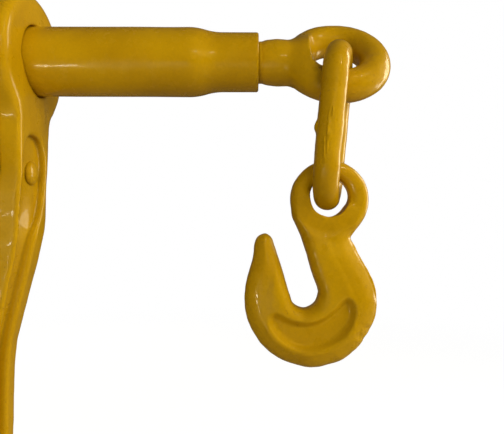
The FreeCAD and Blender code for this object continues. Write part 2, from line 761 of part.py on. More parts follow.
# Outlines of the right hook, (x, z), about the middle of the link's lower bend.
# The entry with four numbers ends an arc, whose middle is the second pair.
HOOK_BODY = [
    (10.58, -16.11), (11.28, -19.28), (13.65, -23.83), (16.62, -29.36), (19.58, -34.90),
    (21.36, -40.04), (21.96, -45.58), (21.56, -50.92), (20.08, -56.17), (17.71, -61.51),
    (13.55, -66.85), (6.23, -72.19), (-0.79, -74.76), (-5.73, -75.15), (-10.48, -74.76),
    (-19.09, -72.19), (-26.90, -66.85), (-31.25, -61.51), (-34.02, -56.17), (-35.50, -50.92),
    (-36.00, -44.99), (-35.40, -38.66), (-33.82, -32.33), (-32.54, -26.99), (-31.94, -21.65),
    (-30.85, -18.09), (-27.24, -16.11), (-24.53, -17.69), (-22.74, -21.65), (-21.06, -26.99),
    (-19.28, -32.33), (-17.70, -37.57), (-16.01, -41.40), (-3.51, -41.40, -9.76, -49.16),
    (-5.64, -35.00), (-8.01, -26.99), (-10.58, -18.98), (-12.85, -11.96),
]
HOOK_NECK = [
    (-13.2, -10.4), (-10.58, -18.98), (-9.9, -21.2), (11.97, -20.9), (11.28, -19.28),
    (10.58, -16.11), (14.2, -10.4),
]
HOOK_CHANNEL = [
    (-24.33, -44.59), (-21.95, -50.53), (-17.21, -55.08), (-10.68, -56.46), (-4.75, -55.47),
    (0.79, -52.51), (4.75, -48.15), (7.12, -44.20), (12.46, -44.59), (14.44, -49.54),
    (13.06, -54.88), (8.90, -60.42), (2.38, -65.17), (-4.75, -67.74), (-12.06, -67.54),
    (-19.18, -64.28), (-24.72, -58.84), (-27.49, -52.51), (-27.10, -46.57),
]
HOOK_EYE = (1.39, -0.88)
HOOK_HOLE = (0.9, 0.0)


def round_hole_edges(hook):
    doc.recompute()
    tip = hook.Tip
    radius = dims.hook_hole.value / 2
    names = ["Edge%d" % i for i, edge in enumerate(tip.Shape.Edges, 1)
             if isinstance(edge.Curve, Part.Circle) and abs(edge.Curve.Radius - radius) < 1e-3]
    if not names:
        raise RuntimeError("hole_edges found no edges")
    fillet = hook.newObject("PartDesign::Fillet", "hole_edges")
    fillet.Base = (tip, names)
    bind(fillet, "Radius", dims.hook_hole_round)
    check(fillet)


def make_hook(word, side):
    trim_margin = 1.0       # trimmed round the eye
    neck_extra = 0.8        # neck thickness over the eye's

    hook = new_body(word + "_hook")
    eye_x, eye_z = side * HOOK_EYE[0], HOOK_EYE[1]
    sk = sketch(hook, "hook_body_outline", "XZ", on_side(side, HOOK_BODY))
    pad(hook, sk, dims.hook_thick, "hook_body")
    # The body is cut back round the eye, then the thinner neck and eye fill the gap.
    drill(hook, "neck_trim", "hook_neck_trim", "XZ", eye_x, eye_z, dims.hook_eye_od, trim_margin)
    sk = sketch(hook, "hook_neck_outline", "XZ", on_side(side, HOOK_NECK))
    pad(hook, sk, dims.hook_eye_thick + neck_extra, "hook_neck")
    sk = sketch(hook, "hook_eye_outline", "XZ")
    circle(sk, eye_x, eye_z, dims.hook_eye_od / 2)
    pad(hook, sk, dims.hook_eye_thick, "hook_eye")
    drill(hook, "hook_hole", "hook_hole_outline", "XZ", side * HOOK_HOLE[0], HOOK_HOLE[1],
          dims.hook_hole)
    round_hole_edges(hook)
    floor = dims.hook_thick.value / 2 - dims.hook_recess.value
    # The front is the -Y face.
    for face, toward in (("front", 1), ("back", -1)):
        sk = sketch(hook, face + "_channel_outline", "XZ", on_side(side, HOOK_CHANNEL),
                    shift=V(0, 0, toward * floor))
        pocket(hook, sk, RUN_OUT, face + "_channel", toward=toward)
    # The hook hangs upright from the lower bend of the leaning link.
    lean = math.radians(dims.link_lean.value)
    drop = dims.link_straight.value / 2 + dims.link_bend.value
    hook.Placement = FreeCAD.Placement(
        V(side * (dims.link_x.value - drop * math.sin(lean)),
          dims.link_y.value,
          dims.link_z.value - drop * math.cos(lean)),
        FreeCAD.Rotation())


# ------------------------------------------------------------------ assembly
make_barrel()
make_gear()
make_lock_pins()
for word, side in SIDES:
    make_ring(word + "_thrust_washer", word + "_washer", side,
              dims.gear_width / 2 + dims.washer_gap,
              dims.washer_width, dims.washer_od, dims.washer_id)
make_handle()
make_pawl()
make_pawl_pin()
make_plunger()
make_spring()
for word, side in SIDES:
    make_eye_screw(word, side)
    make_ring(word + "_stop_ring", word + "_stop", side, dims.stop_ring_in,
              dims.stop_ring_width, dims.stop_ring_od, dims.stop_ring_id)
    make_stop_pin(word, side)
    make_link(word, side)
    make_hook(word, side)

# The height runs from the end of the lever to the top of the ratchet housing.
doc.recompute()
axis_height = (dims.handle_reach - dims.handle_head_od / 2) / 2
lift = FreeCAD.Placement(V(0, 0, axis_height.value), FreeCAD.Rotation())
for piece in PIECES:
    piece.Placement = lift.multiply(piece.Placement)

# --------------------------------------------------------------- check, write
doc.recompute()
for obj in doc.Objects:
    if has_failed(obj):
        raise RuntimeError("%s failed: %s" % (obj.Name, obj.State))
os.makedirs("parts", exist_ok=True)
for piece in PIECES:
    shape = piece.Shape
    if shape.isNull() or not shape.isValid() or not shape.Solids:
        raise RuntimeError("%s has no valid solid" % piece.Label)
    shape.exportStep("parts/%s.step" % piece.Label)
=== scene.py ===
# Ratchet load binder with a grab hook at each end. The barrel lies along X, with an eye screw, a
# chain link and a hook at either end; the lever hangs down from its middle. -Y is the front, and
# "right" pieces are on +X. Shapes are laid out in millimetres about the barrel's axis.
import math
import bpy
import numpy as np
from mathutils import Matrix, Vector


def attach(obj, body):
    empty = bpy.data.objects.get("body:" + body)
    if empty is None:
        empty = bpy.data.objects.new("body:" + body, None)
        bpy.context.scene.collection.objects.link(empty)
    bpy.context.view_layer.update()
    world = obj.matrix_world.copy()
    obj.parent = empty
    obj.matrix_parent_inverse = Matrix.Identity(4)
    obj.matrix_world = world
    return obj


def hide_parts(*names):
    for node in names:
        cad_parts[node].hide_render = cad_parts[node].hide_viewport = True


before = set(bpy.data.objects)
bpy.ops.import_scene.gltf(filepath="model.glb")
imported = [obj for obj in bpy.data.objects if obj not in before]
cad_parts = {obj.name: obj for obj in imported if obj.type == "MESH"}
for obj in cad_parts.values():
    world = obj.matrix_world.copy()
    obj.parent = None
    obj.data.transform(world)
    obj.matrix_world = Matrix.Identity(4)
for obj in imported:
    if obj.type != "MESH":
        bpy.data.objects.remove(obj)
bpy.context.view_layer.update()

MM = 0.001
AXIS_HEIGHT = 159.5     # barrel axis above the origin
AXIS_HEIGHT_M = AXIS_HEIGHT * MM
PAWL_PIN_Z = -52.0      # shared by the lever's pin hole, the pawl and its rivet
SIDES = ("right", "left")


# ---------------------------------------------------------------- field kit
# A shape is a field in millimetres: negative inside, zero on the skin.
def length(*parts):
    return np.sqrt(sum(part * part for part in parts))


def soft_min(first, second, blend):
    """Union of two fields with a smooth blend."""
    share = np.clip(0.5 + 0.5 * (second - first) / blend, 0, 1)
    return second + (first - second) * share - blend * share * (1 - share)


def soft_max(first, second, blend):
    """Intersection of two fields with a smooth blend."""
    return -soft_min(-first, -second, blend)


def smooth_step(start, end, value):
    """0 at start and 1 at end, whichever of the two is larger."""
    t = np.clip((value - start) / (end - start), 0, 1)
    return t * t * (3 - 2 * t)


def rounded_max(first, second, radius):
    """Intersection of two fields with a fillet."""
    p, q = first + radius, second + radius
    return np.minimum(np.maximum(p, q), 0) + length(np.maximum(p, 0), np.maximum(q, 0)) - radius


def smooth_curve(points):
    """Smooth function through (station, value) pairs in rising order, without overshoot."""
    stations, values = np.array(points, float).T
    rise = np.diff(values) / np.diff(stations)
    before, after = rise[:-1], rise[1:]
    slope = np.zeros(len(stations))
    slope[1:-1] = np.where(after * before > 0, 2 * after * before / (after + before + 1e-12), 0)
    slope[0], slope[-1] = rise[0], rise[-1]

    def evaluate(at):
        at = np.clip(at, stations[0], stations[-1])
        i = np.clip(np.searchsorted(stations, at) - 1, 0, len(stations) - 2)
        width = stations[i + 1] - stations[i]
        t = (at - stations[i]) / width
        return ((2 * t ** 3 - 3 * t ** 2 + 1) * values[i]
                + (t ** 3 - 2 * t ** 2 + t) * width * slope[i]
                + (-2 * t ** 3 + 3 * t ** 2) * values[i + 1]
                + (t ** 3 - t ** 2) * width * slope[i + 1])
    return evaluate


def soften(outline, times=2):
    """Closed outline with its corners cut, so that it runs smoothly."""
    points = np.asarray(outline, float)
    for _ in range(times):
        following = np.roll(points, -1, 0)
        pair = [0.75 * points + 0.25 * following, 0.25 * points + 0.75 * following]
        points = np.stack(pair, 1).reshape(-1, 2)
    return points


def closed_spline(outline, steps):
    """Closed Catmull-Rom curve through the points."""
    here = np.asarray(outline, float)
    before, after, beyond = (np.roll(here, shift, 0) for shift in (1, -1, -2))
    samples = []
    for t in np.linspace(0, 1, steps, endpoint=False):
        samples.append(0.5 * (2 * here + (after - before) * t
                              + (2 * before - 5 * here + 4 * after - beyond) * t ** 2
                              + (3 * here - before - 3 * after + beyond) * t ** 3))
    return np.stack(samples, 1).reshape(-1, 2)


def flat_field(outline, closed=True, cell=0.3, margin=14.0):
    """Signed distance to a closed outline (plain distance to an open one), kept as a table."""
    starts = np.asarray(outline, float)
    low, high = starts.min(0) - margin, starts.max(0) + margin
    count = np.ceil((high - low) / cell).astype(int) + 2
    grid_u, grid_v = np.meshgrid(low[0] + cell * np.arange(count[0]),
                                 low[1] + cell * np.arange(count[1]), indexing="ij")
    nearest = np.full(grid_u.shape, 1e9)
    inside = np.zeros(grid_u.shape, bool)
    ends = np.roll(starts, -1, 0) if closed else starts[1:]
    for (u0, v0), (u1, v1) in zip(starts, ends):
        du, dv = u1 - u0, v1 - v0
        square = du * du + dv * dv
        if square < 1e-12:
            continue
        t = np.clip(((grid_u - u0) * du + (grid_v - v0) * dv) / square, 0, 1)
        gap = (grid_u - u0 - t * du) ** 2 + (grid_v - v0 - t * dv) ** 2
        np.minimum(nearest, gap, out=nearest)
        if closed and abs(dv) > 1e-12:
            inside ^= ((v0 > grid_v) != (v1 > grid_v)) & (grid_u < du * (grid_v - v0) / dv + u0)
    dist = np.sqrt(nearest)
    if closed:
        dist = np.where(inside, -dist, dist)

    def evaluate(u, v):
        u, v = np.broadcast_arrays(u, v)
        u = np.clip((u - low[0]) / cell, 0, count[0] - 1.001)
        v = np.clip((v - low[1]) / cell, 0, count[1] - 1.001)
        i, j = u.astype(int), v.astype(int)
        s, t = u - i, v - j
        return ((dist[i, j] * (1 - s) + dist[i + 1, j] * s) * (1 - t)
                + (dist[i, j + 1] * (1 - s) + dist[i + 1, j + 1] * s) * t)
    return evaluate


class Waves:
    """Smooth lumps from a few fixed sine waves in seeded directions."""

    def __init__(self, seed, size, height=1.0, count=9):
        random = np.random.RandomState(seed)
        direction = random.normal(size=(count, 3))
        direction /= np.linalg.norm(direction, axis=1)[:, None]
        self.vectors = direction * (2 * math.pi / size) * random.uniform(0.6, 1.5, (count, 1))
        self.phases = random.uniform(0, 2 * math.pi, count)
        self.scale = height / math.sqrt(count)

    def __call__(self, x, y, z):
        total = 0.0
        for (kx, ky, kz), phase in zip(self.vectors, self.phases):
            total = total + np.sin(kx * x + ky * y + kz * z + phase)
        return total * self.scale


# ----------------------------------------------------------------- mesh kit
def surface_nets(field, low, high, cell):
    """Closed quads around the zero level of the field."""
    low, high = np.array(low, float), np.array(high, float)
    count = np.maximum(np.ceil((high - low) / cell).astype(int) + 1, 3)
    xs, ys, zs = (low[i] + cell * np.arange(count[i]) for i in range(3))
    values = np.empty(count, np.float32)
    slab = max(1, int(600000 / (count[1] * count[2])))    # sampled in slabs to save memory
    for i in range(0, count[0], slab):
        values[i:i + slab] = field(xs[i:i + slab, None, None], ys[None, :, None],
                                   zs[None, None, :])
    values[np.abs(values) < 1e-6] = 1e-6
    inside = values < 0
    corners = np.zeros(tuple(count - 1), np.uint8)
    for i, j, k in np.ndindex(2, 2, 2):
        corners += inside[i:count[0] - 1 + i, j:count[1] - 1 + j, k:count[2] - 1 + k]
    active = (corners > 0) & (corners < 8)
    cells = np.argwhere(active)
    index = np.full(active.shape, -1, np.int64)
    index[active] = np.arange(len(cells))

    # each vertex is the mean of the skin's crossings with its cell's edges
    total = np.zeros((len(cells), 3))
    hits = np.zeros(len(cells))
    for axis in range(3):
        others = [other for other in range(3) if other != axis]
        for pair in np.ndindex(2, 2):
            near = np.zeros(3, int)
            near[others] = pair
            far = near.copy()
            far[axis] = 1
            at_near = values[tuple((cells + near).T)].astype(float)
            at_far = values[tuple((cells + far).T)].astype(float)
            crossed = (at_near < 0) != (at_far < 0)
            point = np.repeat(near[None].astype(float), len(cells), 0)
            point[:, axis] = np.where(crossed, at_near / (at_near - at_far + 1e-30), 0)
            total[crossed] += point[crossed]
            hits[crossed] += 1
    verts = low + cell * (cells + total / hits[:, None])

    # one quad round every grid edge that the skin crosses, facing outwards
    quads = []
    for axis in range(3):
        others = [other for other in range(3) if other != axis]
        lower, upper = [slice(None)] * 3, [slice(None)] * 3
        lower[axis], upper[axis] = slice(0, count[axis] - 1), slice(1, count[axis])
        start, end = inside[tuple(lower)], inside[tuple(upper)]
        edges = np.argwhere(start != end)
        interior = np.ones(len(edges), bool)
        for other in others:
            interior &= (edges[:, other] > 0) & (edges[:, other] < count[other] - 1)
        edges = edges[interior]
        ring = []
        for back in ((1, 1), (0, 1), (0, 0), (1, 0)):
            neighbour = edges.copy()
            neighbour[:, others] -= back
            ring.append(index[tuple(neighbour.T)])
        quad = np.stack(ring, 1)
        start_inside = start[tuple(edges.T)]
        turn = start_inside if axis == 1 else ~start_inside
        quad[turn] = quad[turn][:, ::-1]
        quads.append(quad)
    return verts, np.concatenate(quads)


def settle(field, verts, cell, times=3):
    """Moves the vertices onto the zero level."""
    probe = cell * 0.3
    for _ in range(times):
        x, y, z = verts.T
        value = field(x, y, z)
        slope = np.stack([field(x + probe, y, z) - value, field(x, y + probe, z) - value,
                          field(x, y, z + probe) - value], 1) / probe
        move = np.clip(value / ((slope * slope).sum(1) + 1e-6), -0.4 * cell, 0.4 * cell)
        verts = verts - slope * move[:, None]
    return verts


def field_mesh(field, low, high, cell):
    verts, faces = surface_nets(field, low, high, cell)
    return settle(field, verts, cell), faces


def rings(points, around):
    """Spreads (x, radius) points round the X axis: x and radius arrays, one row per ring."""
    return [np.repeat(column[:, None], around, 1) for column in np.array(points, float).T]


def turned_mesh(x, radius, tips=None):
    """Shape turned about X, from one row of x and radius per ring. tips are the x of the two
    closing points on the axis; without them the last ring joins the first."""
    count, around = x.shape
    angle = np.linspace(0, 2 * math.pi, around, endpoint=False)[None]
    verts = np.stack([x, -radius * np.sin(angle), radius * np.cos(angle)], -1).reshape(-1, 3)
    this = np.arange(around)
    after = (this + 1) % around
    faces = []
    for k in range(count if tips is None else count - 1):
        near, far = k * around, (k + 1) % count * around
        faces.append(np.stack([near + this, far + this, far + after, near + after], 1))
    faces = np.concatenate(faces)
    if tips is None:
        return verts, faces
    first_tip, last_tip = len(verts), len(verts) + 1
    last_ring = (count - 1) * around
    pairs = list(zip(this.tolist(), after.tolist()))
    faces = faces.tolist()
    faces += [[first_tip, i, j] for i, j in pairs]
    faces += [[last_tip, last_ring + j, last_ring + i] for i, j in pairs]
    return np.concatenate([verts, [[tip, 0, 0] for tip in tips]]), faces


def mirrored(points):
    """Points of a half profile mirrored in their first column, in reverse order."""
    return [(-u, v) for u, v in reversed(points)]


def on_side(side, mesh):
    """The mesh as it is for the right, mirrored in X for the left."""
    if side == "right":
        return mesh
    verts, faces = mesh
    if isinstance(faces, np.ndarray):
        faces = faces[:, ::-1]
    else:
        faces = [face[::-1] for face in faces]
    return verts * np.array([-1.0, 1.0, 1.0]), faces


def piece(name, mesh, material, body, replaced, smooth_angle=None):
    """An object that rides on a body, from (vertices in millimetres, faces)."""
    verts, faces = mesh
    verts = (verts + np.array([0.0, 0.0, AXIS_HEIGHT])) * MM
    data = bpy.data.meshes.new(name)
    if isinstance(faces, np.ndarray):
        total, sides = faces.shape
        data.vertices.add(len(verts))
        data.vertices.foreach_set("co", verts.astype(np.float32).ravel())
        data.loops.add(faces.size)
        data.loops.foreach_set("vertex_index", faces.astype(np.int32).ravel())
        data.polygons.add(total)
        data.polygons.foreach_set("loop_start", np.arange(0, faces.size, sides, dtype=np.int32))
        data.polygons.foreach_set("loop_total", np.full(total, sides, np.int32))
        data.update(calc_edges=True)
        data.validate()
    else:
        data.from_pydata(verts.tolist(), [], faces)
        data.update()
    data.polygons.foreach_set("use_smooth", np.ones(len(data.polygons), bool))
    made = bpy.data.objects.new(name, data)
    bpy.context.scene.collection.objects.link(made)
    if smooth_angle is not None:
        data.set_sharp_from_angle(angle=math.radians(smooth_angle))
    data.materials.append(material)
    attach(made, body)
    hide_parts(replaced)


# ---------------------------------------------------------------- materials
def grey(value):
    return (value, value, value, 1)


def scaled(colour, *factors):
    return tuple(part * factor for part, factor in zip(colour, factors)) + (1,)


class Graph:
    """Shader nodes of a material or world. Inputs may be values or sockets to link from."""

    def __init__(self, owner, clear=True):
        owner.use_nodes = True
        self.tree = owner.node_tree
        if clear:
            self.tree.nodes.clear()

    def feed(self, target, inputs):
        for key, value in inputs.items():
            if isinstance(value, bpy.types.NodeSocket):
                self.tree.links.new(value, target.inputs[key])
            else:
                target.inputs[key].default_value = value

    def node(self, kind, inputs=None, **settings):
        made = self.tree.nodes.new("ShaderNode" + kind)
        for key, value in settings.items():
            setattr(made, key, value)
        self.feed(made, inputs or {})
        return made

    def noise(self, vector, scale, detail, roughness=0.5, distortion=0.0):
        return self.node("TexNoise", {
            "Vector": vector, "Scale": scale, "Detail": detail,
            "Roughness": roughness, "Distortion": distortion}).outputs["Fac"]

    def ramp(self, source, start, end, low, high):
        """Colour from low at start to high at end."""
        made = self.node("ValToRGB", {0: source})
        first, last = made.color_ramp.elements
        first.position, last.position = start, end
        first.color, last.color = low, high
        return made.outputs[0]

    def mix(self, kind, factor, first, second):
        """Colour mix; 6, 7 and output 2 are the node's colour sockets."""
        return self.node("Mix", {0: factor, 6: first, 7: second},
                         data_type="RGBA", blend_type=kind).outputs[2]

    def multiply(self, first, second):
        return self.mix("MULTIPLY", 1.0, first, second)

    def bump(self, height, strength, distance, below=None):
        inputs = {"Strength": strength, "Distance": distance, "Height": height}
        if below is not None:
            inputs["Normal"] = below
        return self.node("Bump", inputs).outputs[0]

    def by_camera_ray(self, other, camera):
        """Shader that shows one look to the camera and lights the scene with the other."""
        seen = self.node("LightPath").outputs["Is Camera Ray"]
        return self.node("MixShader", {0: seen, 1: other, 2: camera}).outputs[0]

    def glow(self, kind, strength, colour=grey(1)):
        return self.node(kind, {"Color": colour, "Strength": strength}).outputs[0]


OCHRE = (0.505, 0.284, 0.0011)
# colour of the painted shade in the enamel's hollows
HOLLOW_SHADE = (0.16, 0.075, 0.002, 1)
RUSTY_BROWN = (0.20, 0.085, 0.012, 1)


def enamel(name, rough, worn, seed):
    """Glossy ochre enamel: sags and orange peel, thin dull spots, painted shade in the corners."""
    material = bpy.data.materials.new(name)
    graph = Graph(material)
    vector = graph.node("Mapping", {
        0: graph.node("TexCoord").outputs["Object"],
        "Location": (seed, seed * 0.7, seed * 1.3)}).outputs[0]

    # broad tone and fine grain
    tone = graph.ramp(graph.noise(vector, scale=38, detail=4, roughness=0.55), 0.32, 0.70,
                      low=scaled(OCHRE, 0.90, 0.88, 0.8), high=scaled(OCHRE, 1.08, 1.10, 1.5))
    grain = graph.ramp(graph.noise(vector, scale=900, detail=3, roughness=0.6), 0.30, 0.72,
                       low=grey(0.93), high=grey(1.05))
    colour = graph.multiply(tone, grain)

    # painted shade darkens the hollows, and the edges are rubbed a little lighter
    pointiness = graph.node("NewGeometry").outputs["Pointiness"]
    hollow = graph.ramp(pointiness, 0.40, 0.49, low=grey(1.0), high=grey(0.0))
    crest = graph.ramp(pointiness, 0.515, 0.60, low=grey(0.0), high=grey(1.0))
    # painted shade: hollows mixed towards a dark brown
    colour = graph.mix("MIX", graph.multiply(hollow, grey(0.55)), colour, HOLLOW_SHADE)
    colour = graph.mix("MIX", graph.multiply(crest, grey(0.30)), colour,
                       scaled(OCHRE, 1.25, 1.3, 4))

    # small brown specks, in patches, where the coat is thin
    spot = graph.ramp(graph.noise(vector, scale=420, detail=5, roughness=0.75, distortion=0.4),
                      0.60, 0.68, low=grey(0.0), high=grey(1.0))
    patch = graph.ramp(graph.noise(vector, scale=30, detail=2), 0.56, 0.66,
                       low=grey(0.0), high=grey(1.0))
    specks = graph.multiply(graph.multiply(spot, patch), grey(worn))
    colour = graph.mix("MIX", specks, colour, RUSTY_BROWN)

    gloss = graph.ramp(graph.noise(vector, scale=120, detail=4, roughness=0.6), 0.30, 0.72,
                       low=grey(rough - 0.07), high=grey(rough + 0.10))
    roughness = graph.mix("ADD", 1.0, gloss, graph.multiply(specks, grey(0.6)))

    # lumps, then orange peel, then pits; distances in metres
    normal = graph.bump(graph.noise(vector, scale=150, detail=3), 0.35, 0.00045)
    normal = graph.bump(graph.noise(vector, scale=520, detail=2, roughness=0.45),
                        0.30, 0.00012, normal)
    normal = graph.bump(graph.noise(vector, scale=1500, detail=2), 0.12, 0.00004, normal)

    surface = graph.node("BsdfPrincipled", {
        "Base Color": colour, "Roughness": roughness,
        "Coat Weight": 0.38, "Coat Roughness": 0.06,
        "Specular IOR Level": 0.40, "Specular Tint": (1.0, 0.80, 0.35, 1),
        "Normal": normal, "Coat Normal": normal})
    graph.node("OutputMaterial", {0: surface.outputs[0]})
    return material


def steel(name, base, rough):
    """Bare machined steel with fine turning marks and an oily brown film."""
    material = bpy.data.materials.new(name)
    graph = Graph(material, clear=False)
    place = graph.node("TexCoord").outputs["Object"]
    mottle = graph.noise(place, scale=160, detail=5)
    film = graph.noise(place, scale=45, detail=3)
    across_x = graph.node("Mapping", {0: place, "Scale": (5200, 60, 60)}).outputs[0]
    marks = graph.noise(across_x, scale=1.0, detail=2)
    colour = graph.ramp(film, 0.35, 0.68,
                        low=scaled(base, 0.62, 0.55, 0.44), high=scaled(base, 1.12, 1.12, 1.12))
    roughness = graph.node("MapRange", {
        0: mottle, "From Min": 0.3, "From Max": 0.7,
        "To Min": rough - 0.08, "To Max": rough + 0.14}).outputs[0]
    turning = graph.bump(marks, strength=0.25, distance=0.00003)
    graph.feed(graph.tree.nodes["Principled BSDF"], {
        "Base Color": colour, "Roughness": roughness, "Metallic": 0.95,
        "Normal": graph.bump(mottle, strength=0.2, distance=0.00006, below=turning)})
    return material


PAINT = enamel("ochre_enamel", rough=0.32, worn=0.35, seed=0.0)
PAINT_SMOOTH = enamel("ochre_enamel_tube", rough=0.24, worn=0.12, seed=3.1)
PAINT_ROUGH = enamel("ochre_enamel_forged", rough=0.31, worn=0.7, seed=7.7)
STEEL = steel("oiled_steel", base=(0.30, 0.29, 0.27), rough=0.34)
SPRING = steel("spring_wire", base=(0.14, 0.14, 0.15), rough=0.38)

# -------------------------------------------------------------------- lever
DRUM_HALF_WIDTH, DRUM_RADIUS = 24.5, 30.5
CHAMBER_HALF_WIDTH, CHAMBER_RADIUS = 17.2, 27.6
BARREL_HOLE_RADIUS = 16.3
PIN_HOLE_RADIUS = 4.06
BORE_RADIUS = 4.2           # vertical bore above the grip
END_RING_Z, END_RING_RADIUS, END_HOLE_RADIUS = -336.5, 13.5, 6.5

# (z, half width in X)
REAR_WIDTH = smooth_curve([
    (-360, 7.6), (-300, 9.0), (-175, 10.0), (-146, 10.5), (-132, 11.8), (-126, 13.0),
    (-117.5, 14.9), (-106, 17.6), (-89, 21.6), (-78, 23.9), (-72, 24.5), (-60, 24.5), (0, 24.5)])
FRONT_WIDTH = smooth_curve([
    (-360, 7.6), (-300, 8.6), (-175, 9.0), (-146, 9.3), (-126, 11.0), (-112, 13.6),
    (-103, 15.3), (-96, 17.3), (-79, 20.8), (-70, 21.8), (-61, 22.7), (-50, 24.2), (0, 24.5)])
# (z, distance of the face from the axis in Y)
FRONT_FACE = smooth_curve([
    (-360, 8.0), (-312, 8.0), (-146, 8.2), (-117, 9.0), (-92, 10.5), (-80, 11.8), (-66, 14.0),
    (-50, 16.4), (-36, 17.4), (0, 17.4)])
REAR_FACE = smooth_curve([
    (-360, 8.0), (-312, 8.0), (-146, 8.2), (-117, 9.0), (-92, 10.3), (-66, 11.3), (-48, 13.0),
    (-30, 15.5), (0, 15.5)])
# (y, z) outline of the recess in each side, with the channel that runs down the lever
RECESS = flat_field(soften([
    (-2.0, -34.6), (4.6, -37.0), (8.4, -43.5), (8.6, -51.0), (7.8, -58.0), (6.2, -65.0),
    (3.8, -72.0), (0.6, -77.5), (-0.9, -84.0), (-1.0, -100.0), (-0.8, -150.0), (-0.8, -304.0),
    (-3.4, -312.0), (-6.0, -304.0), (-6.1, -150.0), (-6.9, -115.0), (-8.3, -90.0),
    (-10.2, -75.0), (-12.4, -62.0), (-13.6, -50.0), (-12.8, -42.0), (-9.2, -36.2)]))
# (z, depth of the recess)
RECESS_DEPTH = smooth_curve([
    (-320, 4.6), (-150, 4.6), (-125, 4.2), (-105, 3.8), (-85, 3.7), (-70, 3.7), (-30, 3.6)])
LEVER_LUMPS = Waves(11, size=26.0, height=0.11)
LEVER_FINE = Waves(12, size=7.0, height=0.035)


def lever_solid(x, y, z, half_width):
    """Lever with its drum and end ring, before anything is cut out."""
    across = np.abs(x)
    faces = np.maximum(y - REAR_FACE(z), -y - FRONT_FACE(z))
    faces = soft_max(faces, z + 4.0, 6.0)
    faces = np.maximum(faces, -331.0 - z)
    faces = soft_min(faces, length(y, z - END_RING_Z) - END_RING_RADIUS, 7.0)
    shape = rounded_max((across - half_width) * 0.97, faces, 3.0)
    drum = rounded_max(across - DRUM_HALF_WIDTH, length(y, z) - DRUM_RADIUS, 5.2)
    shape = soft_min(shape, drum, 7.0 - 2.6 * smooth_step(0.0, 10.0, y))
    # the cheeks are 1 mm thinner at the rear, below the drum's middle
    thinner = smooth_step(-8.0, -20.0, z) * smooth_step(-56.0, -30.0, z) * smooth_step(4.0, 14.0, y)
    return rounded_max(shape, across - DRUM_HALF_WIDTH + thinner, 2.0)


def lever_field(x, y, z):
    across = np.abs(x)
    rear = smooth_step(-8.5, 2.0, y)
    half_width = FRONT_WIDTH(z) * (1 - rear) + REAR_WIDTH(z) * rear
    shape = lever_solid(x, y, z, half_width)
    recess = np.maximum(RECESS(y, z), (half_width - RECESS_DEPTH(z)) - across)
    shape = soft_max(shape, -recess, 2.2)
    # ratchet chamber, and the pawl window below it with its rounded bottom corners
    radius = length(y, z)
    chamber = np.maximum(radius - CHAMBER_RADIUS, across - CHAMBER_HALF_WIDTH)
    shape = soft_max(shape, -chamber, 1.0)
    sides, ends = across - 14.0, np.maximum(-64.0 - z, z + 20.7)
    window = np.where(z < -42.0, rounded_max(sides, ends, 13.0), np.maximum(sides, ends))
    shape = soft_max(shape, -window, 1.1)
    # holes for the barrel and the pawl pin, the vertical bore, and the end ring's hole
    shape = soft_max(shape, BARREL_HOLE_RADIUS - radius, 1.0)
    shape = soft_max(shape, PIN_HOLE_RADIUS - length(y, z - PAWL_PIN_Z), 0.3)
    bore = np.maximum(length(x, y) - BORE_RADIUS, np.maximum(-99.5 - z, z + 40.0))
    shape = soft_max(shape, -bore, 0.4)
    shape = soft_max(shape, END_HOLE_RADIUS - length(y, z - END_RING_Z), 3.0)
    return shape + LEVER_LUMPS(x, y, z) + LEVER_FINE(x, y, z)


def build_lever():
    mesh = field_mesh(lever_field, (-26, -33, -352), (26, 33, 33), cell=0.85)
    piece("lever_forging", mesh, PAINT_ROUGH, "handle", "handle")


# ------------------------------------------------------------------- barrel
TUBE_RADIUS, TUBE_END_RADIUS = 15.65, 13.38
TAPER_START, TAPER_END = 94.5, 110.3        # |x| where the tube necks down
TAPER_MIDDLE = (TAPER_START + TAPER_END) / 2
TAPER_RUN = (TAPER_END - TAPER_START) / 2
TAPER_DROP = (TUBE_RADIUS - TUBE_END_RADIUS) / 2
TAPER_BEND = (TAPER_RUN ** 2 + TAPER_DROP ** 2) / (2 * TAPER_DROP)   # radius of both its arcs
RIM_ROUND = 1.0
TUBE_BORE = 12.0
# (x, radius) from the end face into the bore
TUBE_MOUTH = [(127.0, 11.2), (127.0, 10.4), (126.5, 9.85), (126.0, 9.74), (124.0, 9.72),
              (110.0, 9.72), (104.2, 9.72), (104.0, 10.0), (104.0, 11.5), (103.4, TUBE_BORE)]


def tube_radius(x):
    """Outer radius of the tube; an S of two equal arcs joins its two diameters."""
    x = abs(x)
    if x <= TAPER_START:
        return TUBE_RADIUS
    if x >= TAPER_END:
        return TUBE_END_RADIUS
    if x < TAPER_MIDDLE:
        return TUBE_RADIUS - TAPER_BEND + math.sqrt(TAPER_BEND ** 2 - (x - TAPER_START) ** 2)
    return TUBE_END_RADIUS + TAPER_BEND - math.sqrt(TAPER_BEND ** 2 - (TAPER_END - x) ** 2)


def build_barrel():
    stations = np.concatenate([np.arange(-125.8, -93, 0.8), np.arange(-92, 92.5, 4.0),
                               np.arange(93, 126, 0.8)])
    outside = [(x, tube_radius(x)) for x in stations]
    rim = [(126.0 + RIM_ROUND * math.cos(angle),
            TUBE_END_RADIUS - RIM_ROUND + RIM_ROUND * math.sin(angle))
           for angle in np.radians(np.linspace(80, 0, 5))]
    end = rim + TUBE_MOUTH
    bore = [(60.0, TUBE_BORE), (0.0, TUBE_BORE), (-60.0, TUBE_BORE)]
    around = 192
    x, radius = rings(outside + end + bore + mirrored(end), around)
    # only the outside is uneven
    angle = np.linspace(0, 2 * math.pi, around, endpoint=False)[None]
    uneven = Waves(21, size=34.0, height=0.05)(x, radius * np.cos(angle), radius * np.sin(angle))
    radius = radius + np.where(radius > 12.5, uneven, 0.0)
    piece("barrel_tube", turned_mesh(x, radius), PAINT_SMOOTH, "barrel", "barrel",
          smooth_angle=50)


